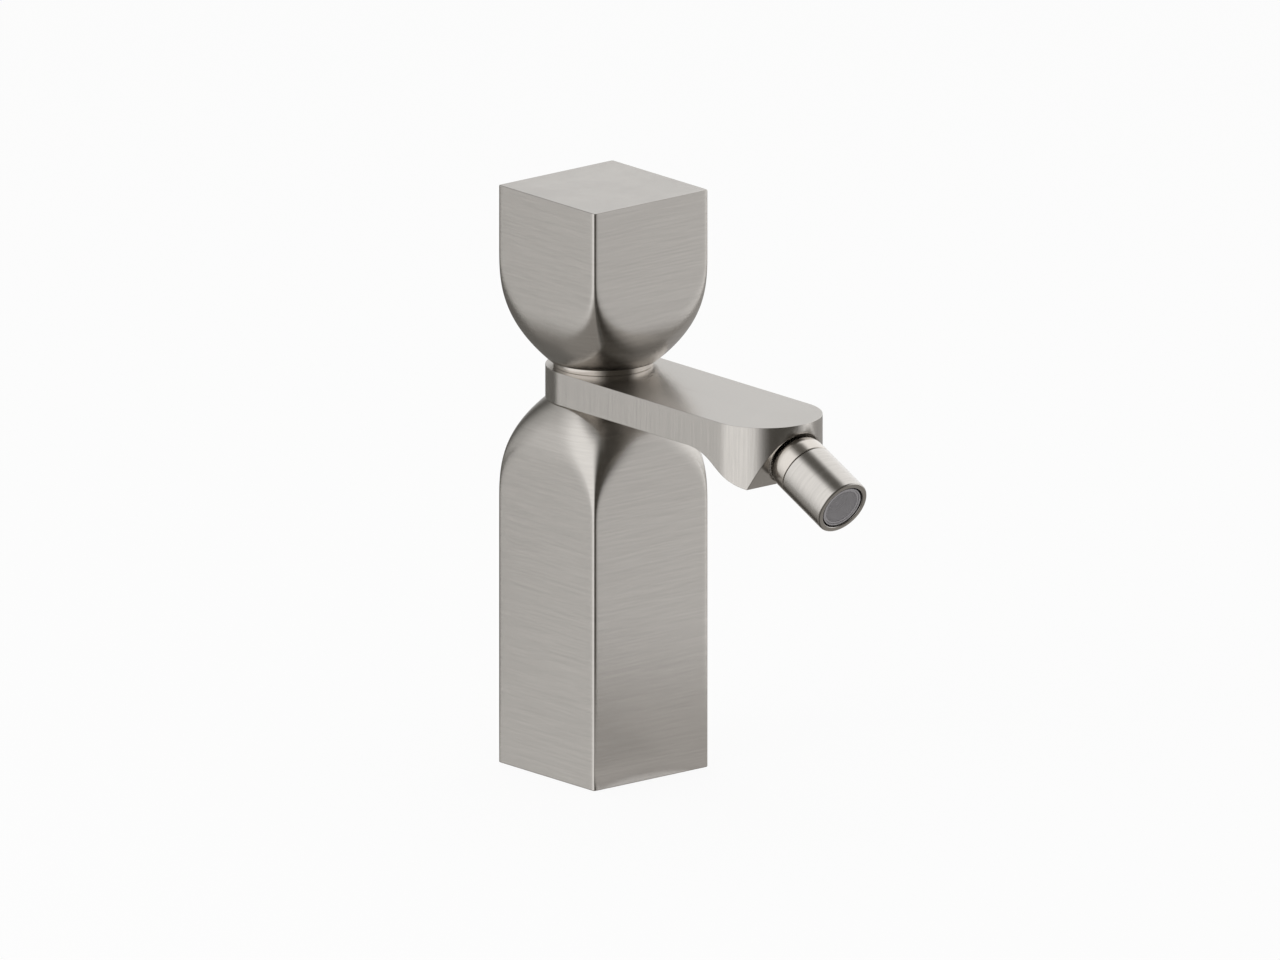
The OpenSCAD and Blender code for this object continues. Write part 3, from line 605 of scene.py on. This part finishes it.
class MIXER_OT_nozzle(bpy.types.Operator):
    """Builds the ball-ended collar and the barrel"""
    bl_idname = "mixer.nozzle"
    bl_label = "Nozzle"

    def execute(self, context):
        outer, shell, spigot, socket = 9.0, 7.25, 7.95, 8
        bore, waterway, shoulder, outlet = 7.3, 5.4, 13.2, 21.9
        # A fine gap parts the collar from the barrel
        collar_end, barrel_start = 3.2, 3.4
        collar = turned(
            arc(outer, -32.51, 0) + [(outer, collar_end), (socket, collar_end), (socket, 0.3)]
            + arc(shell, 2.37, -41.85),
            0.25, test=lambda e: max(v.co.z for v in e.verts) > collar_end - 0.1
            or max(v.co.z for v in e.verts) < -4)
        piece = placed("collar_shell", collar, ON_NOZZLE)
        dress(piece, ["polished"], "nozzle", ["nozzle_collar"])
        barrel = turned(
            [(outer, barrel_start), (outer, outlet), (bore, outlet), (bore, shoulder),
             (waterway, shoulder)] + arc(shell, 41.86, 3.95) + [(spigot, 0.5), (spigot, barrel_start)],
            mm("rim_softness"), segments=4,
            test=lambda e: min(v.co.z for v in e.verts) > outlet - 0.1
            and e.verts[0].co.xy.length > 8)
        round_edges(barrel, 0.25, test=lambda e: (
            min(v.co.z for v in e.verts) > outlet - 0.1
            or abs(e.verts[0].co.z - barrel_start) < 0.05)
            and abs(e.verts[0].co.xy.length - spigot) > 0.1)
        piece = placed("barrel_shell", barrel, ON_NOZZLE)
        dress(piece, ["barrel"], "nozzle", ["nozzle_barrel"])
        return {"FINISHED"}


class MIXER_OT_aerator(bpy.types.Operator):
    """Builds the aerator's body and its fine outlet screen"""
    bl_idname = "mixer.aerator"
    bl_label = "Aerator"

    def execute(self, context):
        front, rear, screen_front, screen_rear = 21.6, 14.6, 21.3, 19.5
        way, flange, outside, bore = 5.6, 7.25, 6.8, 6.35
        body = turned([(way, rear), (flange, rear), (flange, rear + 3.5), (outside, rear + 3.5),
                       (outside, front), (bore, front), (bore, screen_rear), (way, screen_rear)],
                      0.12, test=lambda e: min(v.co.z for v in e.verts) > front - 0.1)
        piece = placed("aerator_body", body, ON_NOZZLE)
        dress(piece, ["resin"], "nozzle", ["aerator_insert"])
        pitch, rim, frame_outside = mm("mesh_pitch"), 5.95, 6.3
        cells = 2 * math.ceil(rim / pitch)
        bm = bmesh.new()
        bmesh.ops.create_grid(bm, x_segments=cells, y_segments=cells, size=cells * pitch / 2)
        beyond = [f for f in bm.faces if f.calc_center_median().length > rim + pitch / 3]
        bmesh.ops.delete(bm, geom=beyond, context="FACES")
        bmesh.ops.wireframe(bm, faces=bm.faces, thickness=mm("mesh_wire"), use_replace=True,
                            use_boundary=True, use_even_offset=True)
        bmesh.ops.translate(bm, vec=(0, 0, screen_front - 0.25), verts=bm.verts)
        ring = turned([(rim - 0.25, screen_rear), (frame_outside, screen_rear),
                       (frame_outside, screen_front), (rim - 0.25, screen_front)], 0.1)
        scratch = bpy.data.meshes.new("scratch")
        ring.to_mesh(scratch)
        ring.free()
        bm.from_mesh(scratch)
        bpy.data.meshes.remove(scratch)
        piece = placed("outlet_screen", bm, ON_NOZZLE)
        dress(piece, ["resin"], "nozzle", ["aerator_screen"])
        return {"FINISHED"}


# Finish of every frame node that no new piece replaces
NODE_FINISH = {
    "core": "brass", "core_key": "steel", "base_seal": "rubber", "spout_oring_lower": "rubber",
    "spout_oring_upper": "rubber", "cartridge_base": "acetal", "port_seals": "rubber",
    "disc_seals": "rubber", "fixed_disc": "ceramic", "moving_disc": "ceramic",
    "cartridge_housing": "acetal", "glide_ring": "resin", "spindle": "brass", "spindle_oring": "rubber",
    "stop_ring": "steel", "cartridge_nut": "brass", "handle_insert": "nylon", "grub_screw": "steel",
    "ball_stud": "polished", "stud_oring": "rubber", "seat_ring_rear": "acetal",
    "seat_ring_front": "acetal", "aerator_washer": "rubber", "flow_regulator": "nylon",
}


class MIXER_OT_inner_parts(bpy.types.Operator):
    """Gives the core, cartridge, seals and ball joint their materials"""
    bl_idname = "mixer.inner_parts"
    bl_label = "Inner parts"

    def execute(self, context):
        for name, key in NODE_FINISH.items():
            node = frame["nodes"][name]
            if not node.material_slots:
                node.data.materials.append(None)
            for slot in node.material_slots:
                slot.material = MATERIALS[key]
        return {"FINISHED"}


# Studio

def studio_ray_factor(tree, camera_share, metal_share):
    """A factor that is camera_share for what the camera sees and metal_share for what metal or glass
    shows."""
    path = add_node(tree, "ShaderNodeLightPath")
    total = add_node(tree, "ShaderNodeMath", {"operation": "MULTIPLY", 1: camera_share},
                     {0: (path, "Is Camera Ray")})
    for ray in ("Is Glossy Ray", "Is Transmission Ray"):
        part = add_node(tree, "ShaderNodeMath", {"operation": "MULTIPLY", 1: metal_share},
                        {0: (path, ray)})
        total = add_node(tree, "ShaderNodeMath", {"operation": "ADD", "use_clamp": True},
                         {0: (total, "Value"), 1: (part, "Value")})
    return total


def direction(turn, rise):
    """A direction turned to the right of the camera's own and raised above level, in degrees."""
    studio = bpy.context.scene.mixer_studio
    azimuth = studio.view_azimuth + math.radians(turn)
    rise = math.radians(rise)
    level = Vector((math.sin(azimuth), -math.cos(azimuth), 0))
    return level * math.cos(rise) + Vector((0, 0, math.sin(rise)))


def softbox(name, turn, rise, distance, size, brightness):
    """A rectangular soft lamp that faces the mixer. Its brightness is that of a lit surface, 1 being
    white, and metal doesn't show it."""
    lamp = bpy.data.lights.new(name, "AREA")
    lamp.shape = "RECTANGLE"
    lamp.size, lamp.size_y = size
    lamp.energy = brightness * math.pi * size[0] * size[1]
    holder = bpy.data.objects.new(name, lamp)
    aim = Vector((0, -0.02, 0.1))
    place = direction(turn, rise)
    holder.location = aim + place * distance
    holder.rotation_euler = place.to_track_quat("Z", "Y").to_euler()
    holder.visible_glossy = False
    bpy.context.scene.collection.objects.link(holder)


def stage_piece(name, bm, material):
    """Makes a piece of the stage from a shape in metres."""
    piece = object_from(name, bm)
    piece.data.materials.append(material)
    return piece


def vault(rises, radius=3.0):
    """Profile (distance, height) in metres of a screen that curves over the mixer, between two rises in
    degrees above level."""
    angles = [math.radians(rises[0] + (rises[1] - rises[0]) * i / 16) for i in range(17)]
    return [(radius * math.cos(a), radius * math.sin(a)) for a in angles]


def screen(name, turns, profile, tone, soft=(0.1, 0.1, 0.001), from_above=False):
    """A screen that only metal shows, made by turning a profile round the mixer. Turns are in degrees
    from the camera's own direction to the right. Its left and right edges fade over soft degrees and its
    top over soft metres. The tone is that of a lit surface, 1 being white. From_above makes a flat one
    fade out towards a low angle."""
    bm = bmesh.new()
    points = [bm.verts.new(direction(turns[0], 0) * distance + Vector((0, 0, height)))
              for distance, height in profile]
    outline = [bm.edges.new(pair) for pair in zip(points, points[1:])]
    bmesh.ops.spin(bm, geom=points + outline, cent=(0, 0, 0), axis=(0, 0, 1), steps=32,
                   angle=math.radians(turns[1] - turns[0]))
    material, tree = new_material(name)
    half = (turns[1] - turns[0]) / 2
    middle = direction((turns[0] + turns[1]) / 2, 0)
    place = add_node(tree, "ShaderNodeTexCoord")
    level = add_node(tree, "ShaderNodeSeparateXYZ", links={"Vector": (place, "Object")})
    turned_back = add_node(tree, "ShaderNodeVectorRotate", {"rotation_type": "Z_AXIS",
                           "Angle": -math.atan2(middle.y, middle.x)}, {"Vector": (place, "Object")})
    turn = add_node(tree, "ShaderNodeTexGradient", {"gradient_type": "RADIAL"},
                    {"Vector": (turned_back, "Vector")})
    top = profile[-1][1] + 0.0005
    edges = [(turn, "Fac", 0.5 - half / 360, 0.5 - (half - soft[0]) / 360),
             (turn, "Fac", 0.5 + half / 360, 0.5 + (half - soft[1]) / 360),
             (level, "Z", top, top - soft[2])]
    if from_above:
        edges.append((add_node(tree, "ShaderNodeLayerWeight", {"Blend": 0.5}), "Facing", 0.74, 0.58))
    # Each edge fades what the ones before it have left
    cover = None
    for source, output, clear_at, full_at in edges:
        links = {"Value": (source, output)}
        if cover:
            links["To Max"] = (cover, "Result")
        cover = add_node(tree, "ShaderNodeMapRange", {"interpolation_type": "SMOOTHSTEP",
                         "From Min": clear_at, "From Max": full_at}, links)
    clear = add_node(tree, "ShaderNodeBsdfTransparent")
    lit = add_node(tree, "ShaderNodeEmission", {"Color": list(tone) + [1], "Strength": 1.0})
    mixed = add_node(tree, "ShaderNodeMixShader", links={0: (cover, "Result"), 1: (clear, "BSDF"),
                                                         2: (lit, "Emission")})
    add_node(tree, "ShaderNodeOutputMaterial", links={"Surface": (mixed, "Shader")})
    piece = stage_piece(name, bm, material)
    piece.visible_camera = piece.visible_diffuse = piece.visible_shadow = False


class MIXER_OT_studio(bpy.types.Operator):
    """Sets the camera, the pale floor, the soft lamps, the screens and the cloths"""
    bl_idname = "mixer.studio"
    bl_label = "Studio"

    def execute(self, context):
        scene = context.scene
        studio = scene.mixer_studio
        scene.view_settings.view_transform = "Standard"
        self.set_camera(scene, studio)
        self.set_world(scene, studio)
        self.lay_floor(scene, studio)
        softbox("softbox_left", -55, 22, 1.1, (0.8, 1.1), 1.2)
        softbox("softbox_top", 150, 75, 1.3, (1.1, 1.1), 0.8)
        # Two wide white screens with soft edges stand on either side of the mixer in a dark room
        screen("screen_left", (-108, 11), vault((-12, 78)), (1.17, 1.17, 1.17), (26, 41, 0.55))
        screen("screen_left_end", (-160, -90), vault((0, 70), 3.5), (0.55, 0.55, 0.54), (55, 5, 1.0))
        screen("screen_right", (60, 150), vault((-12, 55)), (1.18, 1.18, 1.18), (34, 40, 1.3))
        screen("screen_back", (100, 214), vault((-12, 88), 3.2), (1.18, 1.18, 1.18), (45, 56, 0.3))
        screen("ceiling", (-180, 180), vault((50, 90), 4), (0.13, 0.125, 0.115))
        screen("dark_room", (-180, 180), vault((-12, 90), 5), (0.065, 0.06, 0.052))
        # Dark cloths on the floor take the white screens' shine off it. The one in front starts a little
        # way out and shows from above, over a paler one at the foot. Their profiles are in metres.
        flat = [(0.03, 0.0002), (0.75, 0.0002)]
        raised = [(0.032, 0.003), (0.75, 0.003)]
        dished = [(0.03, 0.0004), (0.17, 0.0024)]
        screen("cloth_left", (-175, -100), flat, (0.17, 0.165, 0.155), (10, 14, 0.0001))
        screen("cloth_front", (6, 68), raised, (0.1, 0.096, 0.088), (14, 16, 0.0001), from_above=True)
        screen("cloth_foot", (2, 116), dished, (0.5, 0.488, 0.475), (16, 20, 0.0025))
        screen("cloth_right", (88, 175), flat, (0.4, 0.39, 0.38), (24, 10, 0.0001))
        return {"FINISHED"}

    def set_camera(self, scene, studio):
        """An orthographic camera at the photograph's angle."""
        back = direction(0, math.degrees(studio.view_elevation))
        right = Vector((-back.y, back.x, 0)).normalized()
        up = back.cross(right)
        camera = bpy.data.cameras.new("camera")
        camera.type = "ORTHO"
        camera.ortho_scale = studio.view_width
        holder = bpy.data.objects.new("camera", camera)
        distance = 2
        holder.location = right * studio.aim_right + up * studio.aim_up + back * distance
        holder.rotation_euler = back.to_track_quat("Z", "Y").to_euler()
        scene.collection.objects.link(holder)
        scene.camera = holder

    def set_world(self, scene, studio):
        """White to the camera and in metal, and a plain level of light on everything else."""
        world = bpy.data.worlds.new("studio_room")
        world.use_nodes = True
        tree = world.node_tree
        tree.nodes.clear()
        seen = studio_ray_factor(tree, 1.0, 1.0)
        light = add_node(tree, "ShaderNodeBackground",
                         {"Color": (1, 1, 1, 1), "Strength": studio.room_light})
        white = add_node(tree, "ShaderNodeBackground", {"Color": (1, 1, 1, 1), "Strength": 1.0})
        mixed = add_node(tree, "ShaderNodeMixShader",
                         links={0: (seen, "Value"), 1: (light, "Background"), 2: (white, "Background")})
        add_node(tree, "ShaderNodeOutputWorld", links={"Surface": (mixed, "Shader")})
        scene.world = world

    def lay_floor(self, scene, studio):
        """A plain pale floor that keeps the mixer's shadow."""
        bm = bmesh.new()
        bmesh.ops.create_circle(bm, cap_ends=True, segments=64, radius=5)
        bmesh.ops.translate(bm, vec=(0, 0, -0.0001), verts=bm.verts)
        material, tree = new_material("floor_pale")
        pale = add_node(tree, "ShaderNodeBsdfDiffuse", {"Color": list(studio.floor_colour) + [1]})
        white = add_node(tree, "ShaderNodeEmission", {"Color": (1, 1, 1, 1), "Strength": 1.0})
        to_camera = studio_ray_factor(tree, studio.floor_white, 0.0)
        plain = add_node(tree, "ShaderNodeMixShader",
                         links={0: (to_camera, "Value"), 1: (pale, "BSDF"), 2: (white, "Emission")})
        # Metal shows a satin floor, which mirrors the white screens at a low angle and is a warm grey
        # from above
        grey = add_node(tree, "ShaderNodeEmission",
                        {"Color": list(studio.floor_in_metal) + [1], "Strength": 1.0})
        satin = add_node(tree, "ShaderNodeBsdfGlossy", {"Color": (1, 1, 1, 1), "Roughness": 0.1})
        slant = add_node(tree, "ShaderNodeLayerWeight", {"Blend": 0.5})
        low = add_node(tree, "ShaderNodeMapRange",
                       {"interpolation_type": "SMOOTHSTEP", "From Min": 0.45, "From Max": 0.76},
                       {"Value": (slant, "Facing")})
        shown = add_node(tree, "ShaderNodeMixShader",
                         links={0: (low, "Result"), 1: (grey, "Emission"), 2: (satin, "BSDF")})
        in_metal = studio_ray_factor(tree, 0.0, 1.0)
        mixed = add_node(tree, "ShaderNodeMixShader",
                         links={0: (in_metal, "Value"), 1: (plain, "Shader"), 2: (shown, "Shader")})
        add_node(tree, "ShaderNodeOutputMaterial", links={"Surface": (mixed, "Shader")})
        stage_piece("floor", bm, material)


OPERATORS = (MIXER_OT_studio, MIXER_OT_column, MIXER_OT_handle, MIXER_OT_spout, MIXER_OT_neck_ring,
             MIXER_OT_nozzle, MIXER_OT_aerator, MIXER_OT_inner_parts)
GROUPS = {"mixer_sizes": MixerSizes, "mixer_finish": MixerFinish, "mixer_studio": MixerStudio}


class MIXER_PT_panel(bpy.types.Panel):
    """Lists the mixer's pieces and settings"""
    bl_idname = "MIXER_PT_panel"
    bl_label = "Bidet mixer"
    bl_space_type = "VIEW_3D"
    bl_region_type = "UI"
    bl_category = "Mixer"

    def draw(self, context):
        for operator in OPERATORS:
            self.layout.operator(operator.bl_idname)
        for name in GROUPS:
            group = getattr(context.scene, name)
            box = self.layout.box()
            for key in group.bl_rna.properties.keys():
                if key not in ("rna_type", "name"):
                    box.prop(group, key)


def register():
    """Registers the settings, the operators and the panel."""
    for group in GROUPS.values():
        bpy.utils.register_class(group)
    for name, group in GROUPS.items():
        setattr(bpy.types.Scene, name, bpy.props.PointerProperty(type=group))
    for kind in OPERATORS + (MIXER_PT_panel,):
        bpy.utils.register_class(kind)


def unregister():
    """Takes the panel, the operators and the settings out again."""
    for kind in reversed(OPERATORS + (MIXER_PT_panel,)):
        bpy.utils.unregister_class(kind)
    for name, group in GROUPS.items():
        delattr(bpy.types.Scene, name)
        bpy.utils.unregister_class(group)


def main():
    """Builds everything in order."""
    register()
    make_materials()
    for operator in OPERATORS:
        group, name = operator.bl_idname.split(".")
        getattr(getattr(bpy.ops, group), name)()


if __name__ == "__main__":
    main()
